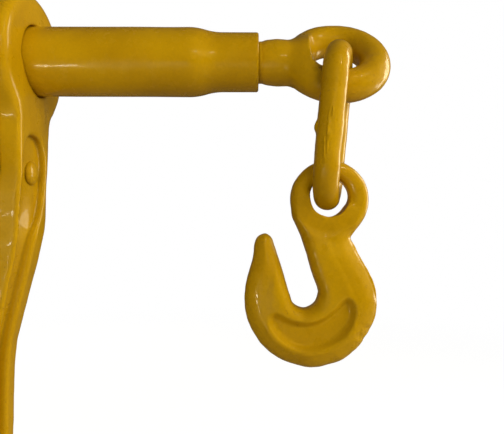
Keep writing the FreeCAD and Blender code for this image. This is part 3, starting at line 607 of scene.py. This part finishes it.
# --------------------------------------------------------------- eye screws
EYE_X = 163.2
EYE_RING_RADIUS, EYE_WIRE_RADIUS, EYE_HOLE_RADIUS = 17.7, 7.42, 10.3
EYE_TILT = math.radians(51.3)       # of the ring's own axis, from +Z towards -Y
NECK_RADIUS = 9.45
# (x, radius) of the neck between screw and eye
NECK = smooth_curve([
    (125.0, NECK_RADIUS), (128.4, NECK_RADIUS), (129.6, 9.85), (132.2, 10.32), (135.9, 10.64),
    (139.0, 10.42), (141.5, 10.12), (143.6, 10.3), (147.0, 11.2), (153.0, 12.0)])
EYE_LUMPS = Waves(31, size=15.0, height=0.09)
EYE_FINE = Waves(32, size=4.5, height=0.035)

THREAD_CREST, THREAD_ROOT, THREAD_PITCH = 9.5, 7.2, 5.0
# (x, radius) of the plain tip at the screw's inner end
SCREW_TIP = [(1.0, 3.0), (1.0, 5.2), (1.3, 5.75), (1.8, 6.0), (4.0, 6.0), (6.5, 6.0),
             (8.9, 6.0), (9.0, 6.6)]


def eye_field(x, y, z):
    """Ring tilted about X, blended into the neck."""
    from_centre = x - EYE_X
    through = -y * math.sin(EYE_TILT) + z * math.cos(EYE_TILT)
    squared = from_centre * from_centre + y * y + z * z - through * through
    from_axis = np.sqrt(np.maximum(squared, 1e-9))
    ring = length(from_axis - EYE_RING_RADIUS, through * 0.99) - EYE_WIRE_RADIUS
    neck = np.maximum(length(y, z) - NECK(x), x - 150.0)
    neck = rounded_max(neck, 126.9 - x, 0.5)
    shape = soft_min(ring, neck, 4.5)
    shape = soft_max(shape, EYE_HOLE_RADIUS - from_axis, 1.0)
    return shape + EYE_LUMPS(x, y, z) + EYE_FINE(x, y, z)


def thread_radius(x, turn):
    """Radius of the thread at x and a fraction of a turn; its ends run out into the core."""
    phase = (x - 6.5) / THREAD_PITCH - turn
    from_root = np.abs(phase - np.round(phase)) * THREAD_PITCH
    rise = np.clip((from_root - 0.9) / 0.75, 0, 1)
    radius = THREAD_ROOT + (THREAD_CREST - THREAD_ROOT) * rise
    radius = np.minimum(radius, 7.0 + (x - 9.0) * 1.05)
    fade = np.clip((x - 127.6) / 1.6, 0, 1)
    return radius * (1 - fade) + np.maximum(radius, NECK_RADIUS) * fade


def screw_mesh():
    around = 112
    tip_x, tip_radius = rings(SCREW_TIP, around)
    stations = np.concatenate([np.arange(9.05, 129.4, 0.28), [129.6, 130.4]])
    thread_x = np.repeat(stations[:, None], around, 1)
    thread = thread_radius(thread_x, np.arange(around)[None] / around)
    return turned_mesh(np.concatenate([tip_x, thread_x]), np.concatenate([tip_radius, thread]),
                       tips=(SCREW_TIP[0][0], stations[-1]))


def build_eye_screws():
    eye = field_mesh(eye_field, (126, -27, -27), (191, 27, 27), cell=0.6)
    screw = screw_mesh()
    for side in SIDES:
        body, replaced = side + "_screw", side + "_eye_screw"
        piece(side + "_eye_forging", on_side(side, eye), PAINT_ROUGH, body, replaced)
        piece(side + "_screw_thread", on_side(side, screw), STEEL, body, replaced,
              smooth_angle=38)


# -------------------------------------------------------------------- links
LINK_LEAN, LINK_YAW = math.radians(5.0), math.radians(77.0)
LINK_CENTRE = np.array([160.35, -10.8, -31.42])
LINK_HALF_STRAIGHT, LINK_HALF_WIDTH, LINK_WIRE_RADIUS = 17.75, 14.25, 5.6
LINK_LUMPS = Waves(41, size=12.0, height=0.06)
LINK_FINE = Waves(42, size=3.2, height=0.025)
WELD_LUMPS = Waves(43, size=2.6)


def link_field(x, y, z):
    """In the link's own frame: x across, z along, y through."""
    beyond = np.maximum(np.abs(z) - LINK_HALF_STRAIGHT, 0)
    off_line = length(x, beyond) - LINK_HALF_WIDTH
    shape = length(off_line, y) - LINK_WIRE_RADIUS
    # swelling at the weld, on the -x leg
    weld = np.exp(-(((z + 4.0) / 5.5) ** 2)) * smooth_step(2.0, 10.0, -x)
    shape = shape - 0.14 * weld
    # trickles of weld metal down the outside of that leg
    band = np.exp(-(((z + 7.0) / 9.5) ** 2) - ((y - 0.2 + 0.05 * (z + 7.0)) / 1.5) ** 2)
    trickle = band * smooth_step(-12.0, -16.0, x)
    shape = shape - trickle * (0.22 + 0.62 * np.maximum(WELD_LUMPS(x, 1.6 * y, 0.55 * z), -0.15))
    nub = length((x + 15.2) / 1.5, (y - 5.0) / 1.7, (z + 3.6) / 2.7) * 1.7 - 1.7
    shape = soft_min(shape, nub, 1.0)
    return shape + LINK_LUMPS(x, y, z) + LINK_FINE(x, y, z)


def build_links():
    verts, faces = field_mesh(link_field, (-22, -9, -39.5), (22, 9, 39.5), cell=0.5)
    turn = Matrix.Rotation(LINK_LEAN, 3, "Y") @ Matrix.Rotation(LINK_YAW, 3, "Z")
    verts = verts @ np.array(turn).T + LINK_CENTRE
    for side in SIDES:
        piece(side + "_chain_link", on_side(side, (verts, faces)), PAINT_ROUGH,
              side + "_link", side + "_link")


# -------------------------------------------------------------------- hooks
# (x, z) outline of the right hook about its eye: down the outer side of the shank,
HOOK_SHANK = [(10.68, -16.51), (11.28, -19.28), (13.45, -23.83), (16.42, -29.36),
              (19.39, -34.90), (21.36, -40.04)]
# round the outside of the bow and up towards the tip,
HOOK_BOW = [
    (22.06, -45.58), (21.56, -50.92), (20.08, -56.17), (17.71, -61.51), (13.55, -66.85),
    (6.23, -72.19), (-0.79, -74.76), (-5.73, -75.25), (-10.48, -74.76), (-19.09, -72.19),
    (-26.90, -66.85), (-31.25, -61.51), (-34.02, -56.17), (-35.50, -50.92), (-36.00, -44.99),
    (-35.40, -38.66), (-33.82, -32.33), (-32.54, -26.99), (-31.94, -21.65)]
# then over the tip, through the throat and round under the eye
HOOK_THROAT = [
    (-30.66, -17.79), (-27.24, -16.11), (-24.43, -17.69), (-22.74, -21.65), (-21.06, -26.99),
    (-19.28, -32.33), (-17.70, -37.57), (-16.15, -42.90), (-14.30, -47.20), (-9.76, -49.16),
    (-5.20, -47.20), (-3.40, -43.10), (-3.60, -40.60), (-5.64, -35.00), (-8.01, -26.99),
    (-10.58, -18.98), (-12.85, -11.96), (-14.14, -7.01), (-8.00, 2.00), (4.00, 2.00),
    (13.00, -6.00)]
# (x, z) of the bevelled edge along the shank, which goes on round the bow
BEVEL_SHANK = [(10.70, -15.00), (11.60, -21.00), (14.30, -26.20), (17.60, -32.20),
               (20.40, -38.40), (21.60, -43.00)]
# (x, z) outline of the hollow in each face
HOOK_HOLLOW = [
    (-25.4, -54.6), (-22.8, -59.9), (-18.2, -63.9), (-13.0, -66.4), (-6.6, -66.9), (-1.0, -65.6),
    (4.7, -63.0), (9.9, -57.8), (12.3, -52.4), (12.0, -46.6), (9.4, -43.8), (6.2, -45.0),
    (3.0, -49.1), (-3.1, -53.6), (-9.6, -55.0), (-16.1, -53.8), (-21.7, -50.6), (-24.4, -51.0)]
OUTLINE = flat_field(closed_spline(HOOK_SHANK + HOOK_BOW + HOOK_THROAT, 5), cell=0.25)
HOLLOW = flat_field(soften(HOOK_HOLLOW), cell=0.25)
BEVEL = flat_field(BEVEL_SHANK + HOOK_BOW, closed=False, cell=0.25, margin=30)
HOOK_DROP = 32.0            # hook origin below the link's centre, along the lean
HOOK_CENTRE = np.array([159.97 - HOOK_DROP * math.sin(LINK_LEAN), LINK_CENTRE[1],
                        LINK_CENTRE[2] - HOOK_DROP * math.cos(LINK_LEAN)])
HOOK_EYE_RADIUS, HOOK_HOLE_RADIUS = 17.35, 8.8
HOOK_LUMPS = Waves(51, size=14.0, height=0.10)
HOOK_FINE = Waves(52, size=4.0, height=0.035)
SCAR_FINE = Waves(44, size=2.7, count=15)
SCAR_BROAD = Waves(45, size=5.5, height=0.10, count=7)


def hook_body(x, z, aside, thick, bevel):
    """Shank, bow and tip. aside is the distance from the hook's middle plane."""
    flat = OUTLINE(x, z) - 0.4 * (smooth_step(6.0, 13.0, x) * smooth_step(-62.0, -54.0, z)
                                  * smooth_step(-17.0, -21.0, z))
    flat = flat - 0.22 * smooth_step(5.0, 1.0, bevel)
    # edges are fully rounded on the bow and tip, tighter on the shank
    shank = smooth_step(-20.0, -12.0, x) * smooth_step(-52.0, -44.0, z)
    body = rounded_max(flat, aside - thick, 6.2 - 0.8 * shank)
    # bevel along the outer edge, narrower towards the tip
    width = 10.5 - 4.0 * smooth_step(-52.0, -30.0, z) * smooth_step(-10.0, -20.0, x)
    cut = (aside - thick + np.maximum(width + 0.8 - bevel, 0.0) ** 2 * 0.037) * 0.87
    return soft_max(body, cut - 5.0 * smooth_step(9.0, 17.0, bevel), 2.2)


def hook_field(x, y, z):
    aside = np.abs(y)
    # thin at the neck, full in the bow, tapering to the tip
    thick = (7.0 - 1.3 * smooth_step(-26.0, -12.0, z) * smooth_step(-20.0, -14.0, x)
             - 1.7 * smooth_step(-36.0, -18.0, z) * smooth_step(-16.0, -22.0, x))
    body = hook_body(x, z, aside, thick, BEVEL(x, z))
    # eye, its flattened faces and its flared hole
    eye_rim = length(x - 1.39, z + 0.88) - HOOK_EYE_RADIUS
    from_hole = length(x - 1.0, z + 0.4)
    eye = soft_max(eye_rim, HOOK_HOLE_RADIUS - from_hole, 0.5)
    shape = soft_min(body, rounded_max(eye, aside - 5.3, 4.4), 4.2)
    shape = soft_max(shape, aside - 5.25 - 1.6 * smooth_step(14.5, 21.0, length(x, z)), 0.5)
    flare = 0.9 * np.clip((aside - 2.2) / 3.0, 0, 2) ** 2
    shape = soft_max(shape, HOOK_HOLE_RADIUS - from_hole - flare, 1.2)
    # forged hollow round the bow on both faces, with a raised lip at its edge
    hollow = HOLLOW(x, z)
    shape = shape + (3.1 * smooth_step(1.0, -3.0, hollow)
                     * smooth_step(thick - 5.8, thick - 2.6, aside))
    shape = shape - 0.35 * np.exp(-(((hollow - 1.9) / 1.5) ** 2)) * smooth_step(-52.0, -60.0, z)
    # rough patch on the front, low on the outer side of the bow
    scar = (np.exp(-(((x - 15.5) / 5.0) ** 2) - ((z + 60.5) / 8.0) ** 2)
            * smooth_step(-1.0, 2.0, -y))
    shape = shape + scar * (0.16 * np.maximum(SCAR_FINE(x, y, z), -0.3) + SCAR_BROAD(x, y, z))
    return shape + HOOK_LUMPS(x, y, z) + HOOK_FINE(x, y, z)


def build_hooks():
    verts, faces = field_mesh(hook_field, (-38.5, -8.5, -78), (24.5, 8.5, 18.5), cell=0.5)
    for side in SIDES:
        piece(side + "_grab_hook", on_side(side, (verts + HOOK_CENTRE, faces)), PAINT_ROUGH,
              side + "_hook", side + "_hook")


# ----------------------------------------------------------- pawl and rivet
# (y, z) from the pin: the rear half of the outline, from the top down
PAWL_CLAW = [(7.0, 11.0), (12.0, 16.5), (14.9, 23.5), (14.7, 29.8), (17.5, 30.7), (20.0, 26.0),
             (20.2, 19.0), (15.5, 10.0), (20.0, 6.7), (20.0, 2.0), (13.0, 0.5), (8.2, -5.2),
             (3.5, -8.5)]
PAWL_OUTLINE = flat_field(
    [(y, PAWL_PIN_Z + z)
     for y, z in [(0.0, 9.0)] + PAWL_CLAW + [(0.0, -9.0)] + mirrored(PAWL_CLAW)], cell=0.2)
PAWL_HALF_WIDTH = 13.5
PAWL_FINE = Waves(12, size=7.0, height=0.03)

RIVET_SEAT_X, RIVET_DOME, RIVET_HEAD_RADIUS = 20.6, 2.9, 5.7
RIVET_SHANK_RADIUS = 4.0


def pawl_field(x, y, z):
    across = np.abs(x)
    sides = across - PAWL_HALF_WIDTH
    shape = rounded_max(PAWL_OUTLINE(y, z) + 0.1, sides, 1.2)
    # bottom corners rounded to fit the window
    bottom = np.where(z < -50.0, rounded_max(across - 13.3, -62.0 - z, 11.0), sides)
    shape = soft_max(shape, bottom, 0.6)
    shape = soft_max(shape, 4.1 - length(y, z - PAWL_PIN_Z), 0.5)
    return shape + PAWL_FINE(x, y, z)


def build_pawl():
    mesh = field_mesh(pawl_field, (-18, -22, -63), (18, 22, -20), cell=0.5)
    piece("double_pawl", mesh, PAINT, "pawl", "pawl")


def build_rivet():
    """Pin along X with a domed head at each end."""
    dome = [(RIVET_SEAT_X + RIVET_DOME * math.cos(angle), RIVET_HEAD_RADIUS * math.sin(angle))
            for angle in np.linspace(math.pi / 2, 0.10, 14)]
    half = [(20.2, RIVET_SHANK_RADIUS), (RIVET_SEAT_X, RIVET_SHANK_RADIUS)] + dome
    tip = RIVET_SEAT_X + RIVET_DOME
    verts, faces = turned_mesh(*rings(mirrored(half) + half, 72), tips=(-tip, tip))
    verts = verts + np.array([0.0, 0.0, PAWL_PIN_Z])
    piece("pawl_rivet", (verts, faces), PAINT, "handle", "pawl_pin", smooth_angle=45)


# -------------------------------------------------------- CAD pieces that stay
def dress_cad_pieces():
    skins = dict.fromkeys((
        "ratchet_gear", "gear_lock_pins", "right_thrust_washer", "left_thrust_washer",
        "detent_plunger", "right_stop_ring", "left_stop_ring", "right_stop_pin",
        "left_stop_pin"), STEEL)
    skins["detent_spring"] = SPRING
    for name, material in skins.items():
        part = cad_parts[name]
        if not part.material_slots:
            part.data.materials.append(material)
        for slot in part.material_slots:
            slot.material = material


# -------------------------------------------------------------------- stage
FLOOR_Z = AXIS_HEIGHT_M - 0.3555
FLOOR_HALF_SIZE = 8.0
WARM = (1.0, 0.92, 0.70)


def floor_material():
    """Pale floor that fades to plain white away from the origin, as the camera sees it."""
    material = bpy.data.materials.new("pale_floor")
    graph = Graph(material)
    bounce = graph.node("BsdfDiffuse", {"Color": (0.28, 0.25, 0.17, 1)}).outputs[0]
    shaded = graph.node("BsdfDiffuse", {"Color": grey(0.14)}).outputs[0]
    near = graph.node("AddShader", {0: shaded, 1: graph.glow("Emission", 0.93)}).outputs[0]
    place = graph.node("NewGeometry").outputs["Position"]
    distance = graph.node("VectorMath", {0: place}, operation="LENGTH").outputs["Value"]
    fade = graph.node("MapRange", {0: distance, "From Min": 0.55, "From Max": 1.4},
                      interpolation_type="SMOOTHSTEP").outputs[0]
    far = graph.glow("Emission", 1.0)
    seen = graph.node("MixShader", {0: fade, 1: near, 2: far}).outputs[0]
    graph.node("OutputMaterial", {0: graph.by_camera_ray(bounce, seen)})
    return material


def build_floor():
    material = floor_material()
    size = FLOOR_HALF_SIZE
    data = bpy.data.meshes.new("floor")
    data.from_pydata([(-size, -size, FLOOR_Z), (size, -size, FLOOR_Z), (size, size, FLOOR_Z),
                      (-size, size, FLOOR_Z)], [], [(0, 1, 2, 3)])
    floor = bpy.data.objects.new("floor", data)
    bpy.context.scene.collection.objects.link(floor)
    data.materials.append(material)


def build_world():
    """White to the camera, a dim warm fill to everything else."""
    world = bpy.data.worlds.new("studio")
    bpy.context.scene.world = world
    graph = Graph(world)
    fill = graph.glow("Background", 0.075, (1.0, 0.90, 0.66, 1))
    white = graph.glow("Background", 1.0)
    graph.node("OutputWorld", {0: graph.by_camera_ray(fill, white)})


def area_light(name, at, target, size, power, color=WARM, glossy=True, spread=None):
    """A soft box; at and target are in metres from the barrel's axis."""
    lamp = bpy.data.lights.new(name, "AREA")
    lamp.shape = "RECTANGLE"
    lamp.size, lamp.size_y = size
    lamp.energy = power
    lamp.color = color
    if spread is not None:
        lamp.spread = math.radians(spread)
    box = bpy.data.objects.new(name, lamp)
    bpy.context.scene.collection.objects.link(box)
    raised = Vector((0, 0, AXIS_HEIGHT_M))
    at, target = Vector(at) + raised, Vector(target) + raised
    box.location = at
    box.rotation_mode = "QUATERNION"
    box.rotation_quaternion = (target - at).to_track_quat("-Z", "Y")
    box.visible_camera = False
    box.visible_glossy = glossy


def build_lights():
    area_light("key_right", at=(1.15, -0.34, 0.26), target=(0.10, 0, -0.08),
               size=(0.75, 0.7), power=9.6, glossy=False)
    area_light("front_soft", at=(0.40, -1.02, 0.26), target=(0.06, 0, -0.1),
               size=(0.45, 0.30), power=4.1, glossy=False)
    area_light("low_front", at=(-0.03, -0.48, -0.20), target=(0.04, 0, 0.0),
               size=(0.22, 0.12), power=0.075, glossy=False, spread=60)
    area_light("rim_right", at=(0.85, 0.30, 0.12), target=(0.16, 0, -0.08),
               size=(0.22, 0.8), power=3.4)
    area_light("spark_high", at=(0.62, -0.52, 0.62), target=(0.15, 0, -0.04),
               size=(0.07, 0.05), power=0.55)
    area_light("spark_front", at=(0.22, -0.55, 0.20), target=(0.15, 0, -0.03),
               size=(0.04, 0.04), power=0.06)
    area_light("low_streak", at=(-0.19, -0.49, -0.27), target=(0.03, 0, 0.0),
               size=(0.10, 0.025), power=0.20, color=(1.0, 0.94, 0.72))
    area_light("rim_back", at=(-0.45, 0.95, 0.35), target=(0.0, 0, -0.1),
               size=(0.8, 0.8), power=4.5, glossy=False)


def build_camera():
    """Level camera in front, looking along +Y with a slight yaw and roll."""
    lens = bpy.data.cameras.new("camera")
    lens.sensor_width = 36.0
    lens.lens = 35.4114286
    lens.clip_start, lens.clip_end = 0.005, 50.0
    camera = bpy.data.objects.new("camera", lens)
    scene = bpy.context.scene
    scene.collection.objects.link(camera)
    camera.location = (0.1247, -0.2319, AXIS_HEIGHT_M - 0.0721)
    camera.rotation_mode = "QUATERNION"
    roll, yaw = math.radians(0.20), math.radians(-0.12)
    forward = Vector((math.sin(yaw), math.cos(yaw), 0.0))
    level = Vector((math.cos(yaw), -math.sin(yaw), 0.0))
    right = level * math.cos(roll) + Vector((0, 0, 1)) * math.sin(roll)
    axes = Matrix((right, right.cross(forward), -forward)).transposed()
    camera.rotation_quaternion = axes.to_quaternion()
    scene.camera = camera
    scene.view_settings.view_transform = "Standard"
    scene.view_settings.look = "None"


build_lever()
build_barrel()
build_eye_screws()
build_links()
build_hooks()
build_pawl()
build_rivet()
dress_cad_pieces()
build_floor()
build_world()
build_lights()
build_camera()
